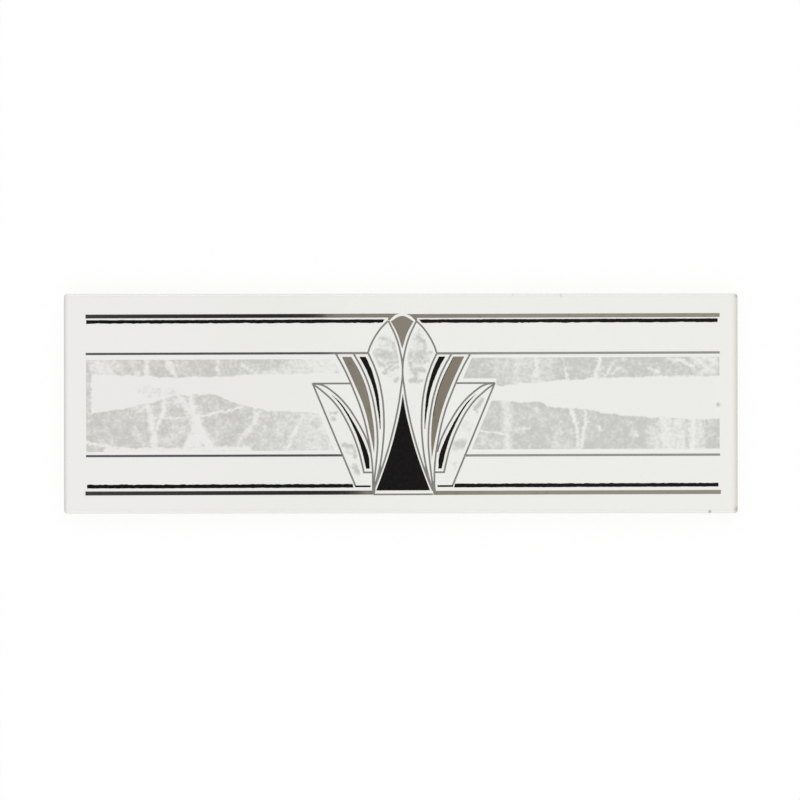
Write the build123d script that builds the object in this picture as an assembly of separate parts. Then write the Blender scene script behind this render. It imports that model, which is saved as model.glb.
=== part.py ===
"""Glazed ceramic border tile: one dust-pressed, fired piece that lies on its keyed back, glazed face up."""

import math
import os

from build123d import *

# Work size of the fired tile, in millimetres
TILE_LENGTH = 198.0  # along X: a 200 mm module less its joint
TILE_WIDTH = 64.6  # along Y
TILE_THICKNESS = 6.5  # along Z, from the tips of the back key to the glazed face

# Edges as the die leaves them
EDGE_ROUND = 0.8  # radius of the arris where the glaze runs off the face
FACE_CORNER_RADIUS = 0.2  # plan radius at the corners of the flat face, inside the rounded arris
BACK_BEVEL_HEIGHT = 2.0  # how far up the sides the bevel of the back reaches
BACK_BEVEL_SETBACK = 0.7  # how far the bevel draws the sides in at the back

# Key on the back that the adhesive grips: a grid of low drafted pads
KEY_HEIGHT = 0.6  # how far the pads stand off the ground of the back
PAD_TIP = 9.0  # side of a pad's flat tip
PAD_CORNER_RADIUS = 1.2  # plan radius at the corners of a pad's tip
PAD_DRAFT = 30.0  # lean of a pad's walls from upright, in degrees
PAD_GAP = 2.3  # ground left between the roots of two pads
KEY_MARGIN = 2.4  # least plain border between the pads and the bevel of the back

# Worked out from the sizes above
CORNER_RADIUS = FACE_CORNER_RADIUS + EDGE_ROUND
PAD_SPREAD = KEY_HEIGHT * math.tan(math.radians(PAD_DRAFT))
PAD_ROOT = PAD_TIP + 2 * PAD_SPREAD
PAD_PITCH = PAD_ROOT + PAD_GAP


def pressed_slab():
    """The slab from the ground of the back to the face, with its bevelled back edge and rounded arris."""
    plan = RectangleRounded(TILE_LENGTH, TILE_WIDTH, CORNER_RADIUS)
    slab = extrude(Plane.XY.offset(KEY_HEIGHT) * plan, TILE_THICKNESS - KEY_HEIGHT)
    back = slab.faces().sort_by(Axis.Z)[0]
    slab = chamfer(back.edges(), BACK_BEVEL_SETBACK, BACK_BEVEL_HEIGHT, reference=back)
    face = slab.faces().sort_by(Axis.Z)[-1]
    return fillet(face.edges(), EDGE_ROUND)


def key_pad():
    """One pad of the back key, tip down, with walls that lean so that it leaves the die."""
    tip = RectangleRounded(PAD_TIP, PAD_TIP, PAD_CORNER_RADIUS)
    root = RectangleRounded(PAD_ROOT, PAD_ROOT, PAD_CORNER_RADIUS + PAD_SPREAD)
    return loft([tip, Plane.XY.offset(KEY_HEIGHT) * root], ruled=True)


def pads_along(side):
    """How many pads fit along one side of the back."""
    room = side - 2 * (BACK_BEVEL_SETBACK + KEY_MARGIN)
    return math.floor((room + PAD_GAP) / PAD_PITCH)


def border_tile():
    """The whole tile: the slab, with the grid of pads pressed on its back in the same stroke."""
    pad = key_pad()
    grid = GridLocations(PAD_PITCH, PAD_PITCH, pads_along(TILE_LENGTH), pads_along(TILE_WIDTH))
    return pressed_slab() + [place * pad for place in grid]


tile = border_tile()
os.makedirs("parts", exist_ok=True)
export_step(tile, "parts/border_tile.step")
print("pads on the back", pads_along(TILE_LENGTH), "by", pads_along(TILE_WIDTH))
print("tile volume in cubic centimetres", round(tile.volume / 1000, 2))
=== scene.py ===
# %% [markdown]
# # A printed border tile
# A border tile is one pressed and fired slab of clay. Its face carries a white glaze, and on the glaze
# lies a printed ornament: rules, bands of marbling and a lotus bud between fanned leaves.
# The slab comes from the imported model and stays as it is. This lesson gives it a bare clay finish, lays
# a thin coat of glaze over its face, and prints the ornament on that coat in three colours.

# %% Load the slab and read its size
import math

import bpy
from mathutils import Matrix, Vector


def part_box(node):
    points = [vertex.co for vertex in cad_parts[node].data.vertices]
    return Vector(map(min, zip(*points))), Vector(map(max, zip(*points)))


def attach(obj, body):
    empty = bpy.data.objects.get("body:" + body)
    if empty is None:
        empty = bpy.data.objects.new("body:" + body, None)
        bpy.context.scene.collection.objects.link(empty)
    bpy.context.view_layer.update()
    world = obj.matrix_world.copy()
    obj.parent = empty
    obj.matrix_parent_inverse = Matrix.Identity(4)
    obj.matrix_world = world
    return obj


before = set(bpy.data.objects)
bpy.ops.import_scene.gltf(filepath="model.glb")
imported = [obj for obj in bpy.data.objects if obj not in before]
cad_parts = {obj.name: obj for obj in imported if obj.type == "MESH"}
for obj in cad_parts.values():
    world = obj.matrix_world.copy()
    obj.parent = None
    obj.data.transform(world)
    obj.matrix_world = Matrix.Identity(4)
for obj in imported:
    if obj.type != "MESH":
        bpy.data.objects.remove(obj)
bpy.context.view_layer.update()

MM = 0.001  # the scene is in metres, and the sizes below are in millimetres
NODE = "border_tile"
BODY = "root"

slab_low, slab_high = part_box(NODE)
TILE_LENGTH, TILE_WIDTH, TILE_THICKNESS = ((b - a) / MM for a, b in zip(slab_low, slab_high))
print("the slab is", [round(v, 2) for v in (TILE_LENGTH, TILE_WIDTH, TILE_THICKNESS)], "mm")

# %% [markdown]
# ## Working by hand in a script
# Every step below is one that can be made by hand: a primitive is added, a few edges are picked, and an
# operator is run on them. An operator works on all that is selected, so each step starts from nothing
# selected. Picking is done in object mode, where a script can set each element's own flag.

# %% Helpers for working on pieces
def start_clean():
    """Leaves edit mode and deselects everything."""
    if bpy.context.object and bpy.context.object.mode != "OBJECT":
        bpy.ops.object.mode_set(mode="OBJECT")
    bpy.ops.object.select_all(action="DESELECT")


def work_on(*pieces):
    """Selects these pieces alone, with the first one active."""
    start_clean()
    for piece in pieces:
        piece.select_set(True)
    bpy.context.view_layer.objects.active = pieces[0]


def pick(piece, kind, test):
    """Opens edit mode with only those edges, faces or vertices selected whose points pass the test."""
    work_on(piece)
    bpy.ops.object.mode_set(mode="EDIT")
    bpy.ops.mesh.select_mode(type=kind)
    bpy.ops.mesh.select_all(action="DESELECT")
    bpy.ops.object.mode_set(mode="OBJECT")
    mesh = piece.data
    if kind == "VERT":
        for vertex in mesh.vertices:
            vertex.select = test(vertex.co)
    else:
        for part in mesh.edges if kind == "EDGE" else mesh.polygons:
            part.select = test(*(mesh.vertices[i].co for i in part.vertices))
    bpy.ops.object.mode_set(mode="EDIT")


def set_in_mesh():
    """Moves the place, turn and scale of the selected piece into its mesh."""
    bpy.ops.object.transform_apply(location=True, rotation=True, scale=True)


def modify(piece, kind, **settings):
    """Adds a modifier to a piece, sets it and applies it."""
    work_on(piece)
    bpy.ops.object.modifier_add(type=kind)
    modifier = piece.modifiers[-1]
    for name, value in settings.items():
        setattr(modifier, name, value)
    bpy.ops.object.modifier_apply(modifier=modifier.name)


def paint(piece, material):
    """Gives a piece this material and no other."""
    piece.data.materials.clear()
    piece.data.materials.append(material)
    return piece


def put_on_tile(piece):
    """Lets a finished piece move with the tile."""
    start_clean()
    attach(piece, BODY)
    print(piece.name, "has", len(piece.data.polygons), "faces")


print("helpers are ready")

# %% [markdown]
# ## Building materials from nodes
# A finish is a small machine of nodes. The first helper below adds a node, sets its options and feeds
# its inputs in one line, and the others use it, so that each material further down reads as a short
# recipe. Patterns read Object coordinates, because every piece here sits at the origin with its place
# in its mesh. A Mapping node turns metres into millimetres, so a noise scale of 2 means about two
# grains to a millimetre.

# %% Helpers for nodes
NOISE_SPAN = (0.3, 0.7)  # nearly all values of a noise lie between these


def add_node(tree, kind, feeds=(), **options):
    """Adds a node. feeds pairs an input's name or number with a value or with another node's output."""
    node = tree.nodes.new(kind)
    for name, value in options.items():
        setattr(node, name, value)
    for place, value in dict(feeds).items():
        if isinstance(value, bpy.types.NodeSocket):
            tree.links.new(value, node.inputs[place])
        else:
            node.inputs[place].default_value = value
    return node


def calc(tree, operation, *values, clamp=False):
    """One Math node's result."""
    node = add_node(tree, "ShaderNodeMath", enumerate(values), operation=operation, use_clamp=clamp)
    return node.outputs[0]


def vector_calc(tree, operation, *values, output=0):
    """One Vector Math node's result."""
    return add_node(tree, "ShaderNodeVectorMath", enumerate(values), operation=operation).outputs[output]


def ramp(tree, value, low, high, start=0.0, end=1.0):
    """A smooth step of a value: start at low, end at high."""
    feeds = {"Value": value, "From Min": low, "From Max": high, "To Min": start, "To Max": end}
    return add_node(tree, "ShaderNodeMapRange", feeds, interpolation_type="SMOOTHSTEP").outputs[0]


def noise(tree, place, scale, detail=3.0, roughness=0.5, output=0):
    """A Noise texture's value, at so many grains to a millimetre."""
    feeds = {"Vector": place, "Scale": scale, "Detail": detail, "Roughness": roughness}
    return add_node(tree, "ShaderNodeTexNoise", feeds).outputs[output]


def cells(tree, place, scale):
    """The distance to the middle of the nearest Voronoi cell, at so many cells to a millimetre."""
    feeds = {"Vector": place, "Scale": scale}
    return add_node(tree, "ShaderNodeTexVoronoi", feeds).outputs["Distance"]


def axes_of(tree, place):
    """The X, Y and Z of a place."""
    return add_node(tree, "ShaderNodeSeparateXYZ", {0: place}).outputs


def blend(tree, share, first, second):
    """A mix of two colours."""
    feeds = {0: share, 6: first, 7: second}
    return add_node(tree, "ShaderNodeMix", feeds, data_type="RGBA").outputs[2]


def grey(level):
    """A neutral colour."""
    return (level, level, level, 1.0)


def new_material(name):
    """A material with its node tree, its Principled shader and its place on the piece in millimetres."""
    material = bpy.data.materials.new(name)
    material.use_nodes = True
    tree = material.node_tree
    shader = tree.nodes["Principled BSDF"]
    coordinates = add_node(tree, "ShaderNodeTexCoord").outputs["Object"]
    place = add_node(tree, "ShaderNodeMapping", {"Vector": coordinates, "Scale": (1 / MM,) * 3}).outputs[0]
    return material, tree, shader, place


def surface(tree, shader, colour, roughness, height, strength, depth):
    """Feeds a finish into the shader: its colour, its roughness, and a height that bumps it."""
    feeds = {"Height": height, "Strength": strength, "Distance": depth * MM}
    bump = add_node(tree, "ShaderNodeBump", feeds)
    for socket, value in (("Base Color", colour), ("Roughness", roughness), ("Normal", bump.outputs[0])):
        tree.links.new(value, shader.inputs[socket])


print("node helpers are ready")

# %% [markdown]
# ## Fired clay
# The back and the lower sides of the tile are bare clay, which potters call biscuit. Pressed from dust,
# it is pale buff, dry and finely grained, with pores and a few darker grains. One flat colour would look
# like plastic, so two noises at different scales tint it, and the same grain drives a bump.

# %% The biscuit finish
CLAY_LIGHT = (0.62, 0.50, 0.37, 1.0)
CLAY_DARK = (0.50, 0.37, 0.25, 1.0)
CLAY_SPECK = (0.22, 0.14, 0.09, 1.0)
CLAY_GRAIN = 2.6  # grains to a millimetre
CLAY_CLOUD = 0.12  # soft clouds, each some 8 mm across
CLAY_MIX = (0.6, 0.5)  # weights of the clouds and the grain
CLAY_TONES = (0.38, 0.72)  # the span of their sum from the dark clay to the light
CLAY_PORES = 0.9  # pores to a millimetre
PORE_EDGE = (0.06, 0.14)  # where a pore ends, from its middle
PORE_DARK = 0.75
PORE_DEPTH = 0.5
CLAY_ROUGHNESS = (0.78, 0.95)  # least and greatest


def biscuit_finish():
    material, tree, shader, place = new_material("biscuit")
    cloud = noise(tree, place, CLAY_CLOUD, detail=4.0)
    grain = noise(tree, place, CLAY_GRAIN, detail=6.0, roughness=0.65)
    tone = calc(tree, "MULTIPLY_ADD", cloud, CLAY_MIX[0], calc(tree, "MULTIPLY", grain, CLAY_MIX[1]))
    body = blend(tree, ramp(tree, tone, *CLAY_TONES), CLAY_DARK, CLAY_LIGHT)
    speck = ramp(tree, cells(tree, place, CLAY_PORES), *PORE_EDGE, PORE_DARK, 0.0)
    colour = blend(tree, speck, body, CLAY_SPECK)
    roughness = ramp(tree, grain, *NOISE_SPAN, *CLAY_ROUGHNESS)
    height = calc(tree, "SUBTRACT", grain, calc(tree, "MULTIPLY", speck, PORE_DEPTH))
    surface(tree, shader, colour, roughness, height, strength=0.5, depth=0.06)
    return material


start_clean()
slab = paint(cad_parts[NODE], biscuit_finish())
print("the slab wears", slab.data.materials[0].name)

# %% [markdown]
# ## The white glaze
# Glaze is a layer of glass, melted on. It is poured over the face, runs over the rounded edge and stops
# partway down the sides in a wavy rim. It could be painted on the slab by height alone, but a coat with a
# thickness of its own catches light along its rim, so it is modelled: a box is rounded like the slab,
# opened below, given a wavy rim and thickened inwards.

# %% Shape the coat of glaze
SLAB_CORNER = 1.0  # radius of the slab's corners in plan
SLAB_ARRIS = 0.8  # radius of the slab's rounded upper edge
COAT_PROUD = 0.05  # how far the glaze stands outside the clay
COAT_DEPTH = 0.08  # thickness of the shell, so that its inner wall lies just inside the clay
CORNER_RADIUS = SLAB_CORNER + COAT_PROUD
ARRIS_RADIUS = SLAB_ARRIS + COAT_PROUD
ROUND_STEPS = 10  # facets across each rounding
FACE_INSET = 0.1  # a narrow ring of faces that keeps the rounding's shading off the flat face
RIM_HEIGHT = 3.7  # where the glaze stops on the sides, above the floor
RIM_WAVE = 1.5  # strength of the wave along the rim
RIM_SPACING = 0.8  # distance between the points of the rim
GLAZE_TOP = TILE_THICKNESS + COAT_PROUD
TINY = 1e-6  # in metres: what lies closer counts as one place


def is_upright(a, b):
    return abs(a.z - b.z) > TINY and abs(a.x - b.x) + abs(a.y - b.y) < TINY


def box_piece(name, low, high):
    """A cube primitive stretched between two corners, in millimetres, with its place in its mesh."""
    start_clean()
    low, high = Vector(low) * MM, Vector(high) * MM
    bpy.ops.mesh.primitive_cube_add(size=1, location=(low + high) / 2, scale=high - low)
    set_in_mesh()
    piece = bpy.context.object
    piece.name = piece.data.name = name
    return piece


half = Vector((TILE_LENGTH / 2 + COAT_PROUD, TILE_WIDTH / 2 + COAT_PROUD))
glaze = box_piece("glaze_coat", (-half.x, -half.y, RIM_HEIGHT), (half.x, half.y, GLAZE_TOP))
pick(glaze, "EDGE", is_upright)
bpy.ops.mesh.bevel(offset=CORNER_RADIUS * MM, segments=ROUND_STEPS, affect="EDGES")
pick(glaze, "EDGE", lambda a, b: min(a.z, b.z) > GLAZE_TOP * MM - TINY)
bpy.ops.mesh.bevel(offset=ARRIS_RADIUS * MM, segments=ROUND_STEPS, affect="EDGES")
pick(glaze, "FACE", lambda *corners: min(c.z for c in corners) > GLAZE_TOP * MM - TINY)
bpy.ops.mesh.inset(thickness=FACE_INSET * MM, depth=0)
pick(glaze, "FACE", lambda *corners: max(c.z for c in corners) < RIM_HEIGHT * MM + TINY)
bpy.ops.mesh.delete(type="ONLY_FACE")
for side, axis in ((TILE_LENGTH, 0), (TILE_WIDTH, 1)):
    pick(glaze, "EDGE", lambda a, b: max(a.z, b.z) < RIM_HEIGHT * MM + TINY
         and abs(a[axis] - b[axis]) > side / 2 * MM)
    bpy.ops.mesh.subdivide(number_cuts=round(side / RIM_SPACING))
start_clean()
print("glaze coat before its rim:", len(glaze.data.vertices), "points")

# %% Wave the rim and give the coat its thickness
RIM_RUN = 7.0  # length of the waves along the rim
SMOOTH_ANGLE = math.radians(40)


def wobble(piece, direction, size, strength, weight, detail=1):
    """Pushes the points of a piece to and fro along one direction, each by its own weight."""
    cloud = bpy.data.textures.new(piece.name + "_wobble", "CLOUDS")
    cloud.noise_scale = size * MM
    cloud.noise_depth = detail
    start_clean()
    edges = piece.vertex_groups.new(name="edges")
    for vertex in piece.data.vertices:
        edges.add([vertex.index], weight(vertex.co), "REPLACE")
    modify(piece, "DISPLACE", texture=cloud, texture_coords="LOCAL", direction=direction,
           strength=strength * MM, vertex_group=edges.name)


wobble(glaze, "Z", RIM_RUN, RIM_WAVE, lambda p: 1.0 if p.z < RIM_HEIGHT * MM + TINY else 0.0, detail=3)
modify(glaze, "SOLIDIFY", thickness=COAT_DEPTH * MM, offset=-1)
bpy.ops.object.shade_smooth_by_angle(angle=SMOOTH_ANGLE)
rim_heights = [v.co.z / MM for v in glaze.data.vertices if v.co.z < (RIM_HEIGHT + RIM_WAVE) * MM]
print("the rim runs between", round(min(rim_heights), 2), "and", round(max(rim_heights), 2), "mm")

# %% [markdown]
# The glaze itself is a warm white glass with a soft gloss. Where it thins over the short ends, the clay
# shows through as a pinkish or cream edge, and along the rim as well. The darker pinkish grey of the left
# end is partly that thin glaze and partly painted shade, standing in for the shade on its rounded edge, and
# a faint painted shade along both long sides damps the highlight on their rounded edges. A slow noise makes
# the surface gently uneven, as melted glass is, and a few pinholes prick it. Grains of iron and ash have
# bled into it here and there. They lie in the glass and not on it, so each is a soft spot of colour about a
# point, and so are the two corners on the right, where the glaze has worn through to the clay.

# %% The glaze finish
GLAZE_WHITE = (0.820, 0.819, 0.796, 1.0)
GLAZE_WARM = (0.814, 0.812, 0.785, 1.0)
GLAZE_PINK = (0.831, 0.826, 0.810, 1.0)  # towards the left end
PINK_REACH = (-75.0, -20.0)  # where along the tile the pink starts to fade, and where it ends
# the left end's tint is partly the clay under thin glaze and partly painted shade on its rounded edge
LEFT_THIN_AND_SHADE = (0.55, 0.52, 0.51, 1.0)
THIN_RIGHT = (0.60, 0.56, 0.46, 1.0)
# a grey for painted shade along the long sides, not thin glaze
LONG_PAINTED_SHADE = (0.72, 0.71, 0.68, 1.0)
THIN_AND_SHADE_REACH = (2.4, 2.8)  # how far in from the left and right end the glaze is thin, and on the left painted shade darkens it
THIN_AND_SHADE_FALL = (4.0, 2.4)  # how steeply the thin glaze, and on the left the painted shade, fade in from each end
THIN_AND_SHADE_SHARE = (0.95, 0.85)  # how bare the very ends are, and on the left how deep the painted shade is
LONG_SHADE_REACH = (1.6, 0.3)  # painted shade along the long sides, which damps the highlight on their rounded edges: from so far in, to so far in
LONG_SHADE_SHARE = 0.3
RIM_TINT = (-0.4, 1.0)  # from below the mean rim to above it
RIM_SHARE = 0.8
GLAZE_WAVES = 0.16  # uneven patches, each some 6 mm across
GLAZE_TONES = (0.35, 0.65)  # the span of noise from the white glaze to the warm
GLAZE_ROUGHNESS = (0.10, 0.16)
GLASS_IOR = 1.52
PINHOLES = 0.11  # pinholes to a millimetre, so they lie some 9 mm apart
PINHOLE_EDGE = (0.012, 0.022)  # where a pinhole ends, from its middle
PINHOLE_DARK = 0.25
PINHOLE_DEPTH = 0.4
SPECK = (0.34, 0.34, 0.32, 1.0)
SPECKS = [(90.75, -31.8, 0.75, 1.0), (93.2, -0.4, 1.05, 0.65), (47.0, 31.7, 0.7, 0.35),
          (32.9, 32.0, 0.5, 0.3)]
WORN = (0.42, 0.35, 0.24, 1.0)
WORN_CORNERS = [(98.95, -31.1, 1.5, 0.8), (98.8, 31.6, 1.0, 0.75)]


def spot_share(tree, place, spots):
    """How much spots tint a place. Each has its x and y, the reach of its stain and its strength."""
    flat = vector_calc(tree, "MULTIPLY", place, (1, 1, 0))
    deepest = 0.0
    for x, y, reach, strength in spots:
        away = vector_calc(tree, "DISTANCE", flat, (x, y, 0), output="Value")
        deepest = calc(tree, "MAXIMUM", deepest, ramp(tree, away, 0.0, reach, strength, 0.0))
    return deepest


def glaze_finish():
    material, tree, shader, place = new_material("white_glaze")
    axes = axes_of(tree, place)
    waves = noise(tree, place, GLAZE_WAVES, detail=2.0)
    white = blend(tree, ramp(tree, waves, *GLAZE_TONES), GLAZE_WHITE, GLAZE_WARM)
    white = blend(tree, ramp(tree, axes["X"], *PINK_REACH, 1.0, 0.0), white, GLAZE_PINK)
    # painted shade along both long sides, which damps the highlight on their rounded edges
    from_middle = calc(tree, "ABSOLUTE", axes["Y"])
    long_shade = ramp(tree, from_middle, half.y - LONG_SHADE_REACH[0], half.y - LONG_SHADE_REACH[1], 0.0, LONG_SHADE_SHARE)
    white = blend(tree, long_shade, white, LONG_PAINTED_SHADE)
    # the left-end blend is partly painted shade for the shade on the left end's rounded edge; the right end
    # is clay under thin glaze
    left = ramp(tree, axes["X"], -half.x, -half.x + THIN_AND_SHADE_REACH[0], 1.0, 0.0)
    right = ramp(tree, axes["X"], half.x - THIN_AND_SHADE_REACH[1], half.x, 0.0, 1.0)
    for thin, fall, share, tint in zip((left, right), THIN_AND_SHADE_FALL, THIN_AND_SHADE_SHARE, (LEFT_THIN_AND_SHADE, THIN_RIGHT)):
        white = blend(tree, calc(tree, "MULTIPLY", calc(tree, "POWER", thin, fall), share), white, tint)
    rim = ramp(tree, axes["Z"], RIM_HEIGHT + RIM_TINT[0], RIM_HEIGHT + RIM_TINT[1], RIM_SHARE, 0.0)
    white = blend(tree, rim, white, THIN_RIGHT)
    hole = ramp(tree, cells(tree, place, PINHOLES), *PINHOLE_EDGE, 1.0, 0.0)
    white = blend(tree, calc(tree, "MULTIPLY", hole, PINHOLE_DARK), white, CLAY_DARK)
    white = blend(tree, spot_share(tree, place, WORN_CORNERS), white, WORN)
    white = blend(tree, spot_share(tree, place, SPECKS), white, SPECK)
    roughness = ramp(tree, waves, *NOISE_SPAN, *GLAZE_ROUGHNESS)
    height = calc(tree, "SUBTRACT", waves, calc(tree, "MULTIPLY", hole, PINHOLE_DEPTH))
    surface(tree, shader, white, roughness, height, strength=0.25, depth=0.05)
    shader.inputs["IOR"].default_value = GLASS_IOR
    return material


put_on_tile(paint(glaze, glaze_finish()))

# %% [markdown]
# ## Drawing the ornament
# The ornament is drawn in its own millimetres, from the middle of the print, and only its right half:
# a Mirror modifier makes the other. A printed line is a Bezier curve swept with a low flat profile, and
# a printed field is a closed curve that is filled and given a thickness. Both are then turned into
# meshes. Drawing with a few smooth points keeps the lines as fluent as the real ones, which a cut-up
# plane could not do.

# %% Helpers for drawing
PRINT_CENTRE = Vector((0.6, -0.26))  # the print sits a little off the middle of the tile
PRINT_TURN = math.radians(0.14)  # and a little askew
PRINT_ROOT = 0.03  # how deep the print reaches into the glaze
ENAMEL_HEIGHT = 0.05  # how far the printed lines stand on the glaze
MARBLE_HEIGHT = 0.02  # the marbling is a thinner film
LINE_WIDTH = 0.5
LINE_EASE = 0.2  # share of a line's height that its upper edges are eased by
FIELD_EASE = 0.1  # the same on a field
CURVE_STEPS = 10
WELD = 0.0005  # points closer than this become one


def bezier(name, points, closed=False):
    """A flat Bezier curve through points in millimetres. A third item marks a sharp corner."""
    start_clean()
    bpy.ops.curve.primitive_bezier_curve_add()
    curve = bpy.context.object
    curve.name = name
    curve.data.dimensions = "2D"
    curve.data.resolution_u = CURVE_STEPS
    spline = curve.data.splines[0]
    spline.bezier_points.add(len(points) - 2)
    for knot, (x, y, *corner) in zip(spline.bezier_points, points):
        knot.handle_left_type = knot.handle_right_type = "VECTOR" if corner else "AUTO"
        knot.co = (x * MM, y * MM, 0)
    spline.use_cyclic_u = closed
    return curve


def draw(name, points, closed=False):
    """The same, with its points measured from the middle of the print."""
    moved = [(x + PRINT_CENTRE.x, y + PRINT_CENTRE.y, *corner) for x, y, *corner in points]
    return bezier(name, moved, closed)


def to_mesh(curve, bottom):
    """Turns a curve into a closed mesh, standing on its bottom height in millimetres."""
    work_on(curve)
    bpy.ops.object.convert(target="MESH")
    lowest = min(v.co.z for v in curve.data.vertices)
    bpy.ops.transform.translate(value=(0, 0, bottom * MM - lowest))
    set_in_mesh()
    bpy.ops.object.mode_set(mode="EDIT")
    bpy.ops.mesh.select_all(action="SELECT")
    bpy.ops.mesh.remove_doubles(threshold=WELD * MM)
    bpy.ops.mesh.normals_make_consistent(inside=False)
    bpy.ops.object.mode_set(mode="OBJECT")
    bpy.ops.object.shade_flat()
    return curve


def line_profile(width, height):
    """The section of a printed line: flat on top, with its upper edges eased."""
    ease = LINE_EASE * (height + PRINT_ROOT)
    side, top, root = width / 2, height, -PRINT_ROOT
    corners = [(-side, root), (side, root), (side, top - ease), (side - ease, top), (ease - side, top),
               (-side, top - ease)]
    profile = bezier("profile", [(x, y, 1) for x, y in corners], closed=True)
    profile.data.resolution_u = 1
    return profile


def line(name, points, width=LINE_WIDTH, height=ENAMEL_HEIGHT):
    """A printed line along points."""
    curve = draw(name, points)
    profile = line_profile(width, height)
    curve.data.bevel_mode = "OBJECT"
    curve.data.bevel_object = profile
    curve.data.use_fill_caps = True
    curve.data.fill_mode = "NONE"
    piece = to_mesh(curve, GLAZE_TOP - PRINT_ROOT)
    bpy.data.objects.remove(profile)
    return piece


def field(name, points, height=ENAMEL_HEIGHT):
    """A printed field inside a closed outline."""
    curve = draw(name, points, closed=True)
    ease = FIELD_EASE * height
    curve.data.fill_mode = "BOTH"
    curve.data.extrude = ((height + PRINT_ROOT) / 2 - ease) * MM
    curve.data.bevel_depth = ease * MM
    curve.data.bevel_resolution = 0
    return to_mesh(curve, GLAZE_TOP - PRINT_ROOT)


def both_halves(*pieces, nudge=0.0):
    """Joins pieces of the right half, mirrors them about the print's middle and nudges both sideways."""
    work_on(*pieces)
    if len(pieces) > 1:
        bpy.ops.object.join()
    whole = bpy.context.object
    start_clean()
    bpy.ops.object.empty_add(location=(PRINT_CENTRE.x * MM, PRINT_CENTRE.y * MM, 0))
    middle = bpy.context.object
    modify(whole, "MIRROR", mirror_object=middle, use_mirror_merge=False)
    bpy.ops.transform.translate(value=(nudge * MM, 0, 0))
    set_in_mesh()
    bpy.data.objects.remove(middle)
    return whole


def join_as(name, *pieces):
    """Joins pieces under one name."""
    work_on(*pieces)
    bpy.ops.object.join()
    whole = bpy.context.object
    whole.name = whole.data.name = name
    return whole


def melt_together(name, *pieces):
    """Joins pieces and melts what overlaps into one closed skin."""
    whole = join_as(name, *pieces)
    bpy.ops.object.mode_set(mode="EDIT")
    bpy.ops.mesh.select_all(action="SELECT")
    bpy.ops.mesh.intersect_boolean(operation="UNION", use_self=True, solver="EXACT")
    bpy.ops.mesh.select_all(action="SELECT")
    bpy.ops.mesh.normals_make_consistent(inside=False)
    bpy.ops.object.mode_set(mode="OBJECT")
    return whole


def lay_print(piece):
    """Turns a finished print askew, as it lies on the tile, and keeps the turn in its mesh."""
    work_on(piece)
    piece.rotation_euler.z = PRINT_TURN
    set_in_mesh()


print("drawing helpers are ready")

# %% [markdown]
# ## Platinum lines and blades
# The metal colour is a platinum lustre: a film of metal fired on the glaze, as smooth as the glass under
# it. It draws the outer rules, the outlines of the bud and its leaves, the cap of the bud and the broad
# blade of each leaf. A broad field shines like a mirror, a thin rule holds less metal and looks cooler, and
# the fine outlines hold so little that they stay a dull grey. The right blade came out broader than the
# left, and darker, so there are four finishes. All these cross and touch, so they are melted into one
# skin, which leaves no wall hidden inside another. A transfer laid by hand never lies quite true: bud and
# leaves are nudged to one side, and the left half of each rule lies a hair above the right.

# %% The platinum finishes
METAL_PATCHES = 0.5  # thinner patches to a millimetre
PATCH_EDGE = (0.55, 0.75)  # the span of noise from a full film to a thin patch
METAL_GRAIN = 6.0  # grains to a millimetre
MIRROR = (0.04, 0.08)  # least and greatest roughness
DULL = (0.25, 0.35)


def platinum_finish(name, full, thin, metallic, roughness):
    material, tree, shader, place = new_material(name)
    film = noise(tree, place, METAL_PATCHES, detail=3.0)
    grain = noise(tree, place, METAL_GRAIN, detail=2.0)
    colour = blend(tree, ramp(tree, film, *PATCH_EDGE), full, thin)
    gloss = ramp(tree, grain, *NOISE_SPAN, *roughness)
    surface(tree, shader, colour, gloss, film, strength=0.1, depth=0.02)
    shader.inputs["Metallic"].default_value = metallic
    return material


platinum_lustre = platinum_finish(
    "platinum_lustre", (0.52, 0.495, 0.455, 1.0), (0.45, 0.43, 0.395, 1.0), 1.0, MIRROR)
platinum_rule = platinum_finish(
    "platinum_rule", (0.47, 0.49, 0.51, 1.0), (0.42, 0.435, 0.45, 1.0), 0.88, MIRROR)
platinum_line = platinum_finish(
    "platinum_line", (0.200, 0.200, 0.189, 1.0), (0.165, 0.165, 0.155, 1.0), 0.0, DULL)
platinum_deep = platinum_finish(
    "platinum_deep", (0.465, 0.435, 0.385, 1.0), (0.41, 0.38, 0.34, 1.0), 1.0, MIRROR)
print("platinum finishes are ready")

# %% Platinum rules
RULE_END = 93.1  # half length of the rules
BOTTOM_END = RULE_END + 0.2
TOP_RULE = (25.43, 26.56)  # lower and upper edge
BOTTOM_RULE = (-26.55, -25.38)
THIN_RULE = 15.0  # height of the two thin rules above and below the middle
THIN_WIDTH = 0.67
LEFT_LIFT = 0.10  # how much higher the left half of each rule lies
RIGHT_DROP = -0.05


def settle_halves(piece):
    """Moves the left half of a pair of rules up a little and the right half down."""
    for side, shift in ((-1, LEFT_LIFT), (1, RIGHT_DROP)):
        pick(piece, "VERT", lambda p: p.x * side > 0)
        bpy.ops.transform.translate(value=(0, shift * MM, 0))
    start_clean()
    return piece


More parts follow.
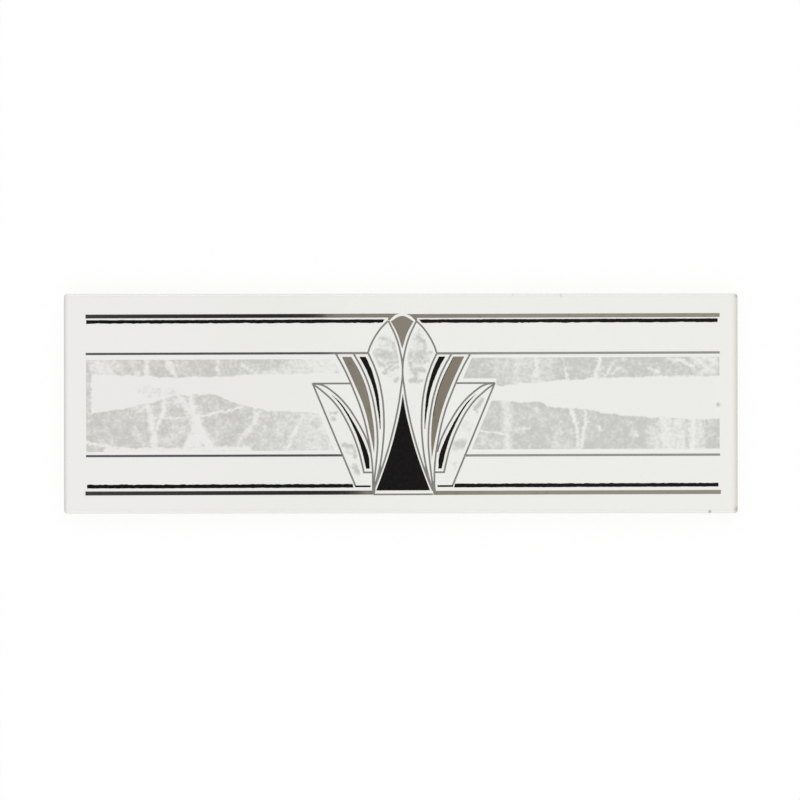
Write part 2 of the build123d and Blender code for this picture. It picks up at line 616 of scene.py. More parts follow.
rules = paint(settle_halves(both_halves(
    field("top_rule", [(RULE_END, TOP_RULE[1], 1), (1.05, TOP_RULE[1], 1), (2.1, 26.17), (2.95, 25.5),
                       (3.8, 24.6, 1), (4.3, 24.7, 1), (4.2, TOP_RULE[0], 1), (RULE_END, TOP_RULE[0], 1)]),
    field("bottom_rule", [(BOTTOM_END, BOTTOM_RULE[1], 1), (8.9, BOTTOM_RULE[1], 1),
                          (8.9, BOTTOM_RULE[0], 1), (BOTTOM_END, BOTTOM_RULE[0], 1)]))), platinum_lustre)
thin_rules = paint(settle_halves(both_halves(
    line("upper_thin_rule", [(RULE_END, THIN_RULE), (10.1, THIN_RULE)], THIN_WIDTH),
    line("lower_thin_rule", [(RULE_END, -THIN_RULE), (17.9, -THIN_RULE)], THIN_WIDTH))), platinum_rule)
print("rules:", len(rules.data.polygons) + len(thin_rules.data.polygons), "faces")

# %% Platinum outlines and fields of the bud and leaves
BUD_NUDGE = -0.12  # how far to the right of its true place each part of the print came to lie
SEAM_NUDGE = -0.03
FAN_NUDGE = 0.15
LEAF_NUDGE = 0.27
STEM_NUDGE = 0.3
FOOT_WIDTH = 0.46


def outlines(nudge, **routes):
    """Thin platinum lines on both sides of the middle, each given by its name and its points."""
    drawn = [line(name, points) for name, points in routes.items()]
    return paint(both_halves(*drawn, nudge=nudge), platinum_line)


bud_lines = outlines(BUD_NUDGE, bud_shoulder=[(4.15, 24.55), (6.55, 22.0), (9.2, 17.6), (10.15, 15.0)])
bud_seams = outlines(
    SEAM_NUDGE,
    bud_side=[(10.1, 15.1), (8.1, 10.6), (6.5, 5.0), (5.57, -3.0), (5.93, -12.5), (7.2, -20.1),
              (8.75, -25.4)],
    bud_seam=[(4.1, 24.5), (2.0, 20.0), (0.8, 16.0), (0.0, 10.3), (0.58, 4.2), (1.43, -1.1), (3.13, -8.7),
              (5.34, -16.3), (7.6, -22.6), (8.55, -24.9)])
fan_sides = outlines(FAN_NUDGE, fan_side=[
    (19.75, 14.9), (17.35, 10.5), (14.6, 4.3), (11.98, -2.85), (10.3, -10.0), (9.2, -17.5), (9.0, -25.5)])
fan_seams = outlines(0.0, fan_seam=[
    (14.4, 14.9), (11.87, 10.3), (9.57, 4.25), (8.1, -2.6), (7.45, -10.5), (7.8, -16.3), (8.7, -24.0)])
leaf_lines = outlines(
    LEAF_NUDGE,
    leaf_top=[(26.8, 6.2), (15.4, 6.2)],
    leaf_side=[(26.8, 6.3), (14.3, -23.8)],
    leaf_upper_curve=[(26.7, 6.2), (23.95, 5.75), (21.1, 4.0), (16.9, -0.1), (13.65, -5.0), (11.2, -9.7),
                      (10.25, -12.4), (9.8, -14.0)],
    leaf_lower_curve=[(26.7, 6.1), (23.6, 3.7), (19.9, 0.0), (16.1, -6.35), (13.6, -12.6), (12.4, -17.1),
                      (11.75, -20.1)],
    leaf_foot=[(11.95, -19.95), (8.9, -19.95)])
stem = field("stem", [(8.2, -22.6, 1), (9.0, -22.6, 1), (9.4, -26.4, 1), (8.6, -26.4, 1)])
stems = paint(both_halves(stem, nudge=STEM_NUDGE), platinum_line)
petal_foot = field("petal_foot", [
    (6.45, -17.2, 1), (7.2, -20.1), (8.45, -24.4, 1), (7.45, -22.4), (6.5, -19.6)])
petal_feet = paint(both_halves(petal_foot, nudge=SEAM_NUDGE), platinum_line)
left_blade = paint(field("left_blade", [
    (-17.8, 14.0, 1), (-14.15, 6.0), (-11.25, -1.3), (-9.65, -8.1), (-8.45, -14.3, 1), (-8.4, -9.0),
    (-9.35, -1.3), (-10.6, 4.5), (-12.5, 9.4), (-15.1, 14.0, 1)]), platinum_lustre)
right_blade = paint(field("right_blade", [
    (18.05, 14.0, 1), (14.3, 5.85), (11.64, -1.2), (9.87, -8.3), (8.42, -16.0, 1), (8.33, -8.3),
    (9.11, -1.2), (10.97, 5.85), (14.9, 14.0, 1)]), platinum_deep)
bud_cap = paint(field("bud_cap", [
    (BUD_NUDGE, 25.95), (3.2, 24.4, 1), (1.44, 21.15), (BUD_NUDGE, 16.4, 1), (-1.68, 21.15),
    (-3.44, 24.4, 1)]), platinum_lustre)
foot_line = paint(line("foot_line", [(-8.7, -26.42), (8.7, -26.42)], FOOT_WIDTH), platinum_line)
platinum = melt_together(
    "platinum_print", rules, thin_rules, bud_lines, bud_seams, fan_sides, fan_seams, leaf_lines, stems,
    petal_feet, left_blade, right_blade, bud_cap, foot_line)
lay_print(platinum)
put_on_tile(platinum)

# %% [markdown]
# ## Black enamel
# The second colour is a black enamel, less even than the platinum. Its rules have a wobbling edge, so each
# starts as a bar with many cross cuts, which a Displace modifier pushes to and fro with a cloud texture.
# The spire in the bud and the blades of the leaves are closed curves, as above.

# %% Black rules and blades
UPPER_BLACK = 24.48  # height of the middle of the bars
LOWER_BLACK = -23.88
BLACK_LIFT = 0.02  # how much higher the left bars lie
CUT_SPACING = 0.4
EDGE_WOBBLE = 0.36
EDGE_WAVE = 0.9  # length of the wobble along a bar
CALM_SHARE = 0.45  # how much of the wobble the calmer edge shows
BLADE_WOBBLE = 0.16
BLADE_WAVE = 0.8
BASE_WIDTH = 0.52  # the short bar under each leaf
TRACE_WIDTH = 0.22  # a hairline on the inner edge of the right platinum blade
TRACE_LIFT = 0.01  # how far it stands above the platinum


def black_rule(name, inner, slant, middle, outer, width):
    """A black bar on one side of the motif, its inner end cut on a slant, rougher towards the middle."""
    reach = sorted((inner + PRINT_CENTRE.x, outer + PRINT_CENTRE.x))
    y = middle + PRINT_CENTRE.y
    low = (reach[0], y - width / 2, GLAZE_TOP - PRINT_ROOT)
    bar = box_piece(name, low, (reach[1], y + width / 2, GLAZE_TOP + ENAMEL_HEIGHT))
    pick(bar, "EDGE", lambda a, b: abs(a.x - b.x) > TINY)
    bpy.ops.mesh.subdivide(number_cuts=round(abs(outer - inner) / CUT_SPACING))
    inner_x = (inner + PRINT_CENTRE.x) * MM
    pick(bar, "VERT", lambda p: abs(p.x - inner_x) < TINY and p.y < y * MM)
    bpy.ops.transform.translate(value=(slant * MM, 0, 0))
    rough_below = middle > 0
    wobble(bar, "Y", EDGE_WAVE, EDGE_WOBBLE, lambda p: 1.0 if (p.y < y * MM) == rough_below else CALM_SHARE)
    return bar


bars = [
    black_rule("upper_left", -5.3, -0.6, UPPER_BLACK + BLACK_LIFT, -92.9, 1.0),
    black_rule("upper_right", 4.8, 0.8, UPPER_BLACK + RIGHT_DROP, 92.5, 1.03),
    black_rule("lower_left", -14.8, 0.2, LOWER_BLACK + BLACK_LIFT, -92.8, 1.08),
    black_rule("lower_right", 15.2, -0.2, LOWER_BLACK, 92.6, 1.08)]
fan_blades = both_halves(
    field("fan_blade", [(12.6, 14.0, 1), (10.78, 10.6), (9.33, 7.2), (8.23, 3.6), (7.38, -1.1),
                        (6.76, -5.4), (6.66, -7.3, 1), (6.5, -7.3, 1), (6.48, -5.4), (6.68, -1.1),
                        (7.23, 3.6), (8.1, 7.2), (9.2, 10.6), (10.75, 14.0, 1)]), nudge=BUD_NUDGE)
leaf_blades = both_halves(
    field("leaf_blade", [(21.2, 2.95, 1), (19.05, 0.55), (17.12, -2.25), (14.71, -6.9), (12.91, -11.6),
                         (11.95, -15.1), (11.1, -18.85, 1), (10.1, -18.85, 1), (10.39, -15.1),
                         (11.59, -11.6), (13.84, -6.9), (16.57, -2.25), (18.72, 0.7)]),
    line("leaf_base", [(14.4, -24.02), (9.85, -24.02)], BASE_WIDTH), nudge=LEAF_NUDGE)
blade_edge = line("blade_edge", [(14.8, 13.7), (11.1, 5.9), (9.22, -1.2), (8.85, -3.6)], TRACE_WIDTH,
                  ENAMEL_HEIGHT + TRACE_LIFT)
spire_side = [(7.88, -25.25, 1), (5.62, -19.2), (3.67, -13.4), (2.05, -7.5), (0.73, -1.7)]
spire = field("spire", [(0, 3.0, 1)] + [(-x, y, *c) for x, y, *c in reversed(spire_side)] + spire_side)
for blades in (fan_blades, leaf_blades):
    wobble(blades, "X", BLADE_WAVE, BLADE_WOBBLE, lambda p: 1.0)
black = join_as("black_print", *bars, fan_blades, leaf_blades, blade_edge, spire)
print("black print:", len(black.data.polygons), "faces")

# %% The black enamel finish
BLACK = (0.0050, 0.0045, 0.0049, 1.0)
BLACK_THIN = (0.0068, 0.0060, 0.0064, 1.0)
BLACK_GRAIN = 0.9  # grains to a millimetre
BLACK_TONES = (0.4, 0.7)  # the span of noise from a full film to a thin one
BLACK_ROUGHNESS = (0.2, 0.32)
BLACK_GLOSS = 0.16


def black_finish():
    material, tree, shader, place = new_material("black_enamel")
    grain = noise(tree, place, BLACK_GRAIN, detail=3.0)
    colour = blend(tree, ramp(tree, grain, *BLACK_TONES), BLACK, BLACK_THIN)
    roughness = ramp(tree, grain, *NOISE_SPAN, *BLACK_ROUGHNESS)
    surface(tree, shader, colour, roughness, grain, strength=0.1, depth=0.02)
    shader.inputs["Specular IOR Level"].default_value = BLACK_GLOSS
    return material


lay_print(black)
put_on_tile(paint(black, black_finish()))

# %% [markdown]
# ## Marbling
# Between the thin rules lie two bands of grey marbling. A white river runs through each and parts it in
# two, pale cracks and clouds break the grey, and it is speckled all over. The petals and leaves hold
# fragments of the same stone. The films are thin closed curves. The stone is made by nodes, since it is
# all tone and no shape: one number says how bare a place is, a speckle noise is held against it, and
# grey is printed where the speckle is higher. So cracks and banks get a crumbling edge by themselves.

# %% Node groups for the stone
STONE_DARK = (0.522, 0.522, 0.500, 1.0)
STONE_LIGHT = (0.582, 0.582, 0.556, 1.0)
PINK_TINT = (0.990, 0.984, 0.991, 1.0)  # the marbling leans to pink on the left of the tile
GREEN_TINT = (0.982, 0.993, 0.979, 1.0)  # and to green on the right
TINT_REACH = (-70.0, 40.0)
SPECKLE = 1.0  # speckles to a millimetre
SPECKLE_CONTRAST = 0.85
MOTTLE = 0.45  # softer clots, each some 2 mm across
MOTTLE_CONTRAST = 0.8
MID_NOISE = 0.5
FILM_EDGE = (-0.55, 0.45)  # from no print to full print, by how far the speckle stands above Bare
STONE_GRAIN = 3.0  # grains of tone to a millimetre
STROKE_HEART = 1.1  # cover on the line of a stroke
STROKE_EDGE = 1.15  # where it ends, in widths from that line


def new_group(name, inputs, outputs):
    """A shader node group with named sockets. Returns it with its input and output nodes."""
    group = bpy.data.node_groups.new(name, "ShaderNodeTree")
    for socket, kind in inputs:
        group.interface.new_socket(socket, in_out="INPUT", socket_type="NodeSocket" + kind)
    for socket, kind in outputs:
        group.interface.new_socket(socket, in_out="OUTPUT", socket_type="NodeSocket" + kind)
    return group, group.nodes.new("NodeGroupInput"), group.nodes.new("NodeGroupOutput")


def stroke_group():
    """How much a stroke covers a place: its Depth on the line from Start to End, less towards its width."""
    sockets = [("Place", "Vector"), ("Start", "Vector"), ("End", "Vector")]
    sockets += [("Width", "Float"), ("Depth", "Float")]
    group, given, made = new_group("stroke", sockets, [("Cover", "Float")])
    from_start = vector_calc(group, "SUBTRACT", given.outputs["Place"], given.outputs["Start"])
    along = vector_calc(group, "SUBTRACT", given.outputs["End"], given.outputs["Start"])
    length = vector_calc(group, "DOT_PRODUCT", along, along, output="Value")
    reached = vector_calc(group, "DOT_PRODUCT", from_start, along, output="Value")
    share = calc(group, "DIVIDE", reached, length, clamp=True)
    feeds = {0: along, "Scale": share}
    nearest = add_node(group, "ShaderNodeVectorMath", feeds, operation="SCALE").outputs[0]
    distance = vector_calc(group, "DISTANCE", from_start, nearest, output="Value")
    away = calc(group, "DIVIDE", distance, given.outputs["Width"])
    cover = ramp(group, away, 0.0, STROKE_EDGE, STROKE_HEART, 0.0)
    group.links.new(calc(group, "MULTIPLY", cover, given.outputs["Depth"]), made.inputs["Cover"])
    return group


def stone_group():
    """The colour of the stone: grey where the speckle is higher than Bare, else the white of the glaze."""
    sockets = [("Place", "Vector"), ("Bare", "Float")]
    group, given, made = new_group("stone", sockets, [("Color", "Color"), ("Film", "Float")])
    place = given.outputs["Place"]
    speckle = MID_NOISE
    for scale, detail, contrast in ((SPECKLE, 1.5, SPECKLE_CONTRAST), (MOTTLE, 2.0, MOTTLE_CONTRAST)):
        clots = calc(group, "SUBTRACT", noise(group, place, scale, detail), MID_NOISE)
        speckle = calc(group, "MULTIPLY_ADD", clots, contrast, speckle)
    film = ramp(group, calc(group, "SUBTRACT", speckle, given.outputs["Bare"]), *FILM_EDGE)
    fine = noise(group, place, STONE_GRAIN, detail=2.0)
    tone = blend(group, ramp(group, fine, *NOISE_SPAN), STONE_DARK, STONE_LIGHT)
    tint = blend(group, ramp(group, axes_of(group, place)["X"], *TINT_REACH), PINK_TINT, GREEN_TINT)
    feeds = {0: 1.0, 6: blend(group, film, GLAZE_WHITE, tone), 7: tint}
    tinted = add_node(group, "ShaderNodeMix", feeds, data_type="RGBA", blend_type="MULTIPLY").outputs[2]
    group.links.new(tinted, made.inputs["Color"])
    group.links.new(film, made.inputs["Film"])
    return group


stroke = stroke_group()
stone = stone_group()
print("groups:", stroke.name, stone.name)

# %% Helpers for marbled films
BANK_REACH = 93.0  # half length and half height of the bands
BANK_HEIGHT = 14.0
BANK_EDGE = (-0.6, 0.4)  # millimetres across the bank over which the stone gives way
WHOLLY_BARE = 1.3
BANK_WAVES = (0.3, 1.6)  # waves to a millimetre, and how far they push
BANK_FRAY = (1.2, 0.6)
CRACK_FRAY = (1.2, 1.5)
CLOUD = 0.16  # pale clouds, each some 6 mm across
CLOUD_BARE = (0.14, 0.36)
STONE_ROUGHNESS = (0.13, 0.2)


def slide(tree, value, low, high, start, end):
    """A straight change of a value: start at low, end at high."""
    feeds = {"Value": value, "From Min": low, "From Max": high, "To Min": start, "To Max": end}
    return add_node(tree, "ShaderNodeMapRange", feeds).outputs[0]


def bank_line(tree, across, points):
    """A Float Curve that gives the height of a river bank along the band, in millimetres."""
    share = slide(tree, across, -BANK_REACH, BANK_REACH, 0.0, 1.0)
    node = add_node(tree, "ShaderNodeFloatCurve", {"Value": share})
    curve = node.mapping.curves[0]
    scaled = [((x / BANK_REACH + 1) / 2, (y / BANK_HEIGHT + 1) / 2) for x, y in points]
    curve.points[0].location, curve.points[1].location = scaled[0], scaled[-1]
    for point in scaled[1:-1]:
        curve.points.new(*point)
    node.mapping.update()
    return slide(tree, node.outputs[0], 0.0, 1.0, -BANK_HEIGHT, BANK_HEIGHT)


def print_place(tree, place):
    """A place on the print, measured from its middle and along its own turn."""
    feeds = {"Vector": place, "Location": (*PRINT_CENTRE, GLAZE_TOP), "Rotation": (0, 0, PRINT_TURN)}
    moved = add_node(tree, "ShaderNodeMapping", feeds, vector_type="TEXTURE").outputs[0]
    return vector_calc(tree, "MULTIPLY", moved, (1, 1, 0))


def ragged(tree, place, scale, reach):
    """A place pushed about by noise, so that what is drawn there gets a ragged edge."""
    push = noise(tree, place, scale, detail=3.0, roughness=0.6, output="Color")
    centred = vector_calc(tree, "SUBTRACT", push, (MID_NOISE,) * 3)
    return vector_calc(tree, "MULTIPLY_ADD", centred, (reach, reach, 0), place)


def all_strokes(tree, place, strokes):
    """The deepest cover of a list of strokes: x and y of both ends, width and depth."""
    cover = None
    for x0, y0, x1, y1, width, depth in strokes:
        feeds = {"Place": place, "Start": (x0, y0, 0), "End": (x1, y1, 0), "Width": width, "Depth": depth}
        node = add_node(tree, "ShaderNodeGroup", feeds, node_tree=stroke)
        cover = node.outputs[0] if cover is None else calc(tree, "MAXIMUM", cover, node.outputs[0])
    return cover


def finish_stone(tree, shader, place, bare):
    """Feeds the stone's colour and gloss into the shader."""
    made = add_node(tree, "ShaderNodeGroup", {"Place": place, "Bare": bare}, node_tree=stone)
    film = made.outputs["Film"]
    roughness = ramp(tree, film, 0.0, 1.0, *STONE_ROUGHNESS)
    surface(tree, shader, made.outputs["Color"], roughness, film, strength=0.1, depth=0.01)
    shader.inputs["IOR"].default_value = GLASS_IOR


def band_finish(name, river_side, bank, cracks, fade=None, end_strip=None, crumbs=()):
    """Stone on one side of the river. river_side is 1 if the river lies above, and -1 if below."""
    material, tree, shader, place = new_material(name)
    flat = print_place(tree, place)
    wavy = ragged(tree, flat, *BANK_WAVES)
    rough = ragged(tree, wavy, *CRACK_FRAY)
    axes = axes_of(tree, ragged(tree, wavy, *BANK_FRAY))
    into_river = calc(tree, "SUBTRACT", axes["Y"], bank_line(tree, axes["X"], bank))
    bare = ramp(tree, calc(tree, "MULTIPLY", into_river, river_side), *BANK_EDGE, 0.0, WHOLLY_BARE)
    if crumbs:
        bare = calc(tree, "SUBTRACT", bare, all_strokes(tree, rough, crumbs))
    if end_strip:
        bare = calc(tree, "MINIMUM", bare, ramp(tree, axes["X"], *end_strip, 0.0, WHOLLY_BARE))
    if fade:
        bare = calc(tree, "MAXIMUM", bare, slide(tree, axes["X"], *fade))
    bare = calc(tree, "MAXIMUM", bare, all_strokes(tree, rough, cracks))
    clouds = noise(tree, flat, CLOUD, detail=4.0, roughness=0.6)
    pale = ramp(tree, clouds, *NOISE_SPAN, *CLOUD_BARE)
    bare = calc(tree, "MULTIPLY_ADD", bare, calc(tree, "SUBTRACT", 1.0, pale), pale)
    finish_stone(tree, shader, flat, bare)
    return material


def lay_film(film, name, material):
    """Lays a finished film of stone on the tile."""
    film.data.name = name
    lay_print(film)
    put_on_tile(paint(film, material))


def marble_band(name, outline, **layout):
    """A film with this outline, and the layout of the stone on it."""
    film = field(name, [(x, y, 1) for x, y in outline], MARBLE_HEIGHT)
    lay_film(film, name, band_finish(name, **layout))


print("film helpers are ready")

# %% The left band
marble_band(
    "marble_upper_left",
    [(-20.3, 13.35), (-93.0, 13.35), (-93.0, 6.4), (-27.5, 6.4), (-27.5, 7.6), (-17.7, 7.6)],
    river_side=-1,
    bank=[(-92.6, 9.0), (-80.0, 8.6), (-70.0, 8.0), (-58.0, 8.2), (-45.0, 8.8), (-17.0, 9.3)],
    cracks=[
        (-89.4, 11.6, -86.7, 9.8, 4.2, 0.78), (-86.7, 12.2, -83.2, 10.1, 3.6, 0.5),
        (-78.2, 9.3, -77.9, 9.2, 1.4, 0.7), (-75.2, 13.6, -75.0, 7.7, 1.4, 0.85),
        (-69.2, 13.3, -67.6, 10.3, 1.5, 0.85), (-67.6, 10.3, -66.5, 8.3, 1.0, 0.7),
        (-54.2, 13.2, -54.2, 8.5, 0.6, 0.5), (-49.0, 13.2, -49.3, 11.5, 0.7, 0.45),
        (-47.0, 11.6, -43.2, 9.4, 1.1, 0.65), (-40.8, 9.2, -34.7, 9.3, 1.6, 0.6),
        (-35.4, 10.4, -33.4, 9.6, 2.4, 0.6)],
    fade=(-37.0, -26.0, 0.15, 0.78),
    end_strip=(-92.0, -90.9),
    crumbs=[(-31.3, 11.9, -28.6, 10.4, 2.0, 0.6), (-25.6, 11.2, -24.6, 10.2, 1.1, 0.4)])
marble_band(
    "marble_lower_left",
    [(-28.2, 6.4), (-93.0, 6.4), (-93.0, -13.7), (-20.2, -13.4)],
    river_side=1,
    bank=[(-92.6, -2.9), (-85.0, -1.3), (-78.0, 0.0), (-74.0, 0.8), (-70.0, 1.9), (-65.0, 2.9),
          (-56.0, 3.2), (-52.0, 2.0), (-48.0, 0.5), (-42.0, -1.1), (-28.0, -2.2), (-17.0, -2.4)],
    cracks=[
        (-75.0, 1.2, -73.8, -4.6, 1.3, 0.85), (-73.8, -4.6, -72.6, -12.9, 1.9, 0.88),
        (-70.2, 1.5, -70.3, -2.0, 1.2, 0.8), (-70.3, -2.0, -72.3, -6.7, 1.1, 0.8),
        (-70.0, -3.9, -62.6, -3.5, 0.7, 0.65), (-66.1, 2.7, -61.7, -2.6, 1.6, 0.75),
        (-62.3, 3.3, -61.3, -3.8, 1.8, 0.9), (-60.8, -3.4, -60.2, -12.9, 3.0, 1.0),
        (-61.0, -7.6, -63.4, -12.9, 2.2, 1.0), (-60.7, -5.6, -56.9, -12.3, 2.9, 1.0),
        (-60.0, -3.2, -52.6, -2.2, 0.7, 0.75), (-52.6, -2.2, -47.0, -0.5, 0.7, 0.75),
        (-42.3, -2.0, -44.7, -6.8, 1.3, 0.7), (-44.7, -6.8, -47.9, -10.6, 1.6, 0.65),
        (-29.2, -3.0, -31.4, -7.4, 1.1, 0.75), (-31.4, -7.4, -34.0, -13.0, 1.3, 0.75),
        (-93.2, -10.9, -84.4, -12.6, 0.9, 0.85), (-87.2, -13.4, -45.0, -13.0, 1.3, 1.0),
        (-78.6, -7.9, -76.0, -10.9, 2.4, 0.5), (-77.9, -1.1, -75.5, 0.4, 3.0, 0.5),
        (-69.1, -10.2, -64.4, -6.7, 5.0, 0.4), (-68.6, 1.2, -64.8, 0.6, 2.6, 0.6)],
    fade=(-50.0, -24.0, 0.15, 0.55),
    end_strip=(-92.0, -90.9),
    crumbs=[(-76.8, 4.6, -67.0, 3.6, 3.4, 0.52)])

# %% The right band
marble_band(
    "marble_upper_right",
    [(20.3, 13.6), (93.0, 13.7), (93.0, 7.0), (60.0, 6.4), (32.0, 4.4), (27.5, 4.4), (27.5, 7.6),
     (17.7, 7.6)],
    river_side=-1,
    bank=[(17.0, 6.0), (26.5, 5.6), (28.0, 5.2), (35.0, 5.9), (42.0, 6.5), (52.0, 7.0), (58.0, 7.5),
          (66.0, 7.7), (92.6, 8.0)],
    cracks=[
        (39.4, 13.8, 39.4, 9.4, 1.3, 0.78), (39.2, 9.4, 39.2, 6.7, 3.2, 0.6),
        (33.6, 12.9, 33.6, 5.9, 3.5, 0.45), (31.0, 10.6, 41.0, 10.0, 8.0, 0.32),
        (43.0, 12.8, 43.4, 8.2, 2.2, 0.45), (46.9, 13.6, 48.2, 8.4, 0.6, 0.45),
        (48.3, 8.8, 48.6, 6.4, 0.8, 0.7), (57.7, 13.7, 57.3, 10.2, 0.9, 0.85),
        (57.3, 10.2, 56.5, 7.6, 1.2, 0.85), (62.4, 12.6, 59.5, 8.4, 0.8, 0.5),
        (63.6, 10.8, 61.5, 8.7, 0.7, 0.5), (65.0, 13.1, 65.2, 13.0, 1.1, 0.6),
        (74.5, 9.4, 74.8, 9.3, 1.2, 1.0), (72.4, 10.5, 74.2, 9.4, 0.6, 0.5),
        (78.0, 13.2, 81.6, 12.5, 0.9, 0.75), (81.6, 12.5, 85.4, 10.7, 1.0, 0.75),
        (85.7, 13.4, 91.0, 9.5, 2.0, 0.65), (87.4, 8.4, 92.1, 12.2, 2.0, 0.5),
        (88.6, 13.4, 91.5, 12.9, 1.2, 0.8)])
marble_band(
    "marble_lower_right",
    [(27.5, 4.4), (32.0, 4.4), (60.0, 6.4), (91.4, 6.97), (91.4, -2.6), (93.0, -2.9), (93.0, -13.25),
     (20.2, -13.25)],
    river_side=1,
    bank=[(17.0, 1.4), (26.0, 1.2), (37.0, 0.7), (40.0, 0.9), (42.0, -0.1), (46.0, -0.9), (54.0, -1.5),
          (60.0, -2.6), (68.0, -3.5), (78.0, -4.2), (92.6, -4.4)],
    cracks=[
        (30.3, 0.6, 30.9, -13.2, 2.4, 0.62), (23.0, -8.1, 29.4, -9.0, 0.6, 0.7),
        (32.7, -7.6, 37.1, -7.1, 0.8, 0.5), (38.9, -1.5, 39.5, -2.1, 1.2, 0.5),
        (49.2, -1.2, 50.8, -5.9, 1.1, 0.85), (50.8, -5.9, 51.5, -13.3, 0.8, 0.7),
        (53.7, -1.2, 53.4, -6.8, 0.65, 0.75), (53.4, -6.8, 52.1, -13.3, 0.8, 0.75),
        (44.7, -9.7, 45.0, -12.7, 3.0, 0.38), (46.2, -7.7, 49.7, -11.8, 4.0, 0.32),
        (57.8, -7.1, 58.1, -7.3, 1.2, 0.8), (67.8, -8.6, 68.3, -9.1, 1.4, 0.6),
        (73.6, -8.0, 74.4, -13.4, 3.2, 0.45), (76.8, -4.8, 77.9, -13.4, 4.0, 0.72),
        (80.9, -6.0, 81.5, -13.4, 3.0, 0.72), (85.2, -1.9, 85.0, -13.4, 2.0, 0.85),
        (87.4, -2.5, 87.1, -13.4, 2.5, 0.55), (24.1, -10.6, 28.5, -12.3, 3.0, 0.28),
        (27.0, -2.6, 60.0, -4.2, 2.4, 0.16), (90.2, -5.0, 90.4, -9.0, 2.0, 0.3)])

# %% Fragments in the petals and leaves
FRAGMENT_FRAY = (0.6, 1.2)
FRAGMENT_BARE = 0.1  # how much barer the fragments are than the bands
PETAL_HAZE = [(-5.2, 18.2, -3.6, 10.6, 3.8, 0.38), (4.4, 19.0, 4.0, 9.0, 3.8, 0.42)]
PETAL_MARKS = [
    (-6.6, 19.6, -3.8, 18.6, 1.0, 0.4), (-7.6, 15.0, -2.0, 14.2, 2.1, 0.66),
    (-2.6, 18.2, -2.1, 14.3, 1.1, 0.6), (-8.2, 14.4, -6.6, 11.6, 1.0, 0.6),
    (-6.6, 11.8, -5.7, 11.4, 1.0, 0.7), (-1.1, 12.6, -4.4, 12.0, 0.75, 0.68),
    (-3.4, 11.2, -5.5, 9.2, 0.75, 0.68), (-5.5, 9.2, -5.1, 9.2, 1.0, 0.85),
    (-1.1, 11.0, -3.4, 10.1, 0.7, 0.6), (-1.9, 7.2, -1.7, 7.3, 1.2, 0.9),
    (4.8, 21.7, 4.6, 19.8, 0.9, 0.5), (4.6, 19.5, 6.3, 18.3, 0.9, 0.75),
    (6.5, 18.3, 6.5, 15.8, 0.8, 0.7), (2.4, 14.3, 5.4, 13.9, 2.4, 0.62),
    (5.4, 15.1, 8.6, 15.0, 1.2, 0.65), (6.5, 12.4, 7.5, 13.0, 1.2, 0.6),
    (2.1, 12.2, 2.4, 10.5, 0.8, 0.68), (2.4, 10.5, 3.9, 8.9, 0.8, 0.72),
    (3.7, 10.3, 6.3, 9.9, 0.9, 0.68), (3.8, 9.2, 4.0, 7.5, 0.8, 0.72),
    (2.0, 7.0, 5.8, 6.9, 1.0, 0.75)]
LEAF_HAZE = [(18.9, -5.8, 18.8, -6.4, 2.4, 0.4), (15.2, -17.3, 15.4, -18.5, 1.2, 0.45)]
LEAF_MARKS = [
    (-21.4, -2.5, -19.7, -2.3, 0.9, 0.75), (-20.3, -4.1, -20.1, -4.2, 1.3, 0.7),
    (-17.3, -11.9, -14.7, -12.5, 1.3, 0.9), (-14.4, -13.1, -14.1, -15.4, 0.9, 0.75),
    (-16.4, -13.7, -15.0, -14.3, 1.3, 0.4), (-14.4, -17.8, -13.1, -20.4, 1.3, 0.75),
    (23.3, 1.1, 21.2, -1.3, 1.3, 0.9), (21.8, -2.0, 21.8, -2.3, 1.0, 0.6),
    (15.9, -12.0, 18.2, -11.7, 2.4, 0.85)]


def fragments_finish(name, haze, marks):
    """White glass with a haze of stone and a few darker marks."""
    material, tree, shader, place = new_material(name)
    flat = print_place(tree, place)
    rough = ragged(tree, flat, *FRAGMENT_FRAY)
    bare = calc(tree, "SUBTRACT", 1.0, all_strokes(tree, rough, marks))
    bare = calc(tree, "MULTIPLY", bare, calc(tree, "SUBTRACT", 1.0, all_strokes(tree, rough, haze)))
    finish_stone(tree, shader, flat, calc(tree, "ADD", bare, FRAGMENT_BARE))
    return material


def fragments(name, outline, haze, marks):
    """A pair of mirrored films that carry marks of stone."""
    pair = both_halves(field(name, outline, MARBLE_HEIGHT))
    lay_film(pair, name, fragments_finish(name, haze, marks))


fragments("marble_petals", [
    (4.4, 23.0, 1), (6.9, 20.2), (9.0, 15.2, 1), (6.5, 8.6), (4.8, 0.1), (4.4, -10.4, 1), (2.9, -3.4),
    (1.0, 8.3), (2.2, 17.9)], PETAL_HAZE, PETAL_MARKS)
fragments("marble_leaves", [
    (24.9, 3.9, 1), (20.3, -0.4), (16.3, -6.6), (13.9, -12.9), (12.9, -17.4), (12.4, -23.0, 1),
    (13.9, -23.0, 1)], LEAF_HAZE, LEAF_MARKS)

# %% [markdown]
# ## The studio
# The tile lies on a white floor and is seen from straight above. Two broad soft lamps stand along its
# long sides, so the short ends fall off a little. Metal shows what is above it: a warm grey ceiling
# card, and a dark flag to the left of the lens, which is why the left end of each rule reads dark. The
# cards are seen by reflections alone. The white of the floor and the world comes from Light Path.

# %% Floor and world
def seen_directly(tree):
    """1 for rays that show the background itself: camera, glossy and transmission rays."""
    rays = add_node(tree, "ShaderNodeLightPath").outputs
    shown = calc(tree, "MAXIMUM", rays["Is Camera Ray"], rays["Is Glossy Ray"])
    return calc(tree, "MAXIMUM", shown, rays["Is Transmission Ray"])


def empty_material(name):
    """A material with nothing in its node tree yet."""
    material = bpy.data.materials.new(name)
    material.use_nodes = True
    material.node_tree.nodes.clear()
    return material, material.node_tree


